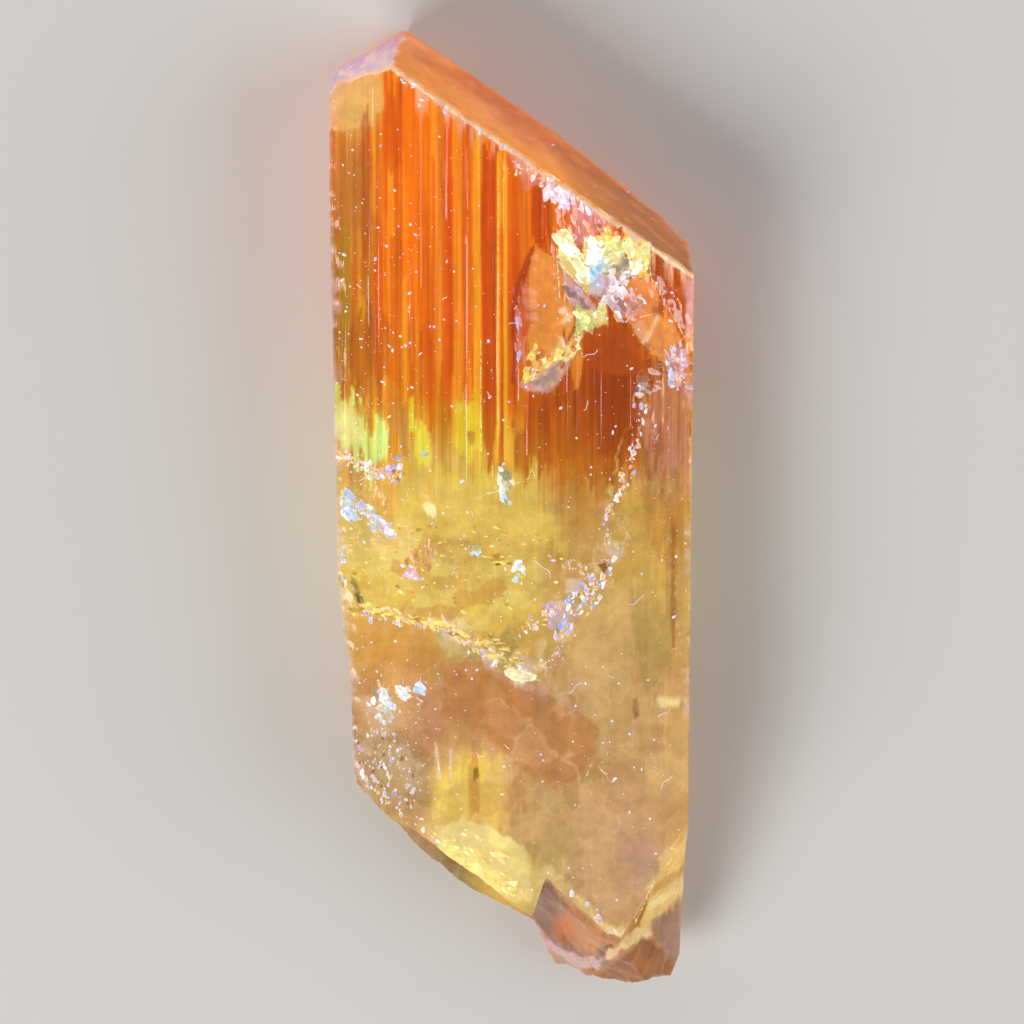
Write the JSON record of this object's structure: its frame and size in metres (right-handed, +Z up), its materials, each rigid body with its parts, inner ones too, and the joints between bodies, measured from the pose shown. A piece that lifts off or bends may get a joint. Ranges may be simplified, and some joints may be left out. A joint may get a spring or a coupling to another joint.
{
  "type": "kunzite crystal",
  "caption": "Clear natural crystal, a flattened prism striated along its length, closed by a two-faced roof at one end and broken off at the other, lying on its back.",
  "frame": {"origin": "on the ground under the middle of the crystal's box", "axes": "+X across the broad front face, +Y along the crystal to its roofed end, +Z up out of the broad front face"},
  "size_m": [0.0274, 0.075, 0.011],
  "materials": {
    "crystal": "glassy, striated, orange at the roofed end to yellow and peach at the broken end"
  },
  "bodies": {
    "root": {"kunzite_crystal": "crystal"}
  },
  "joints": []
}
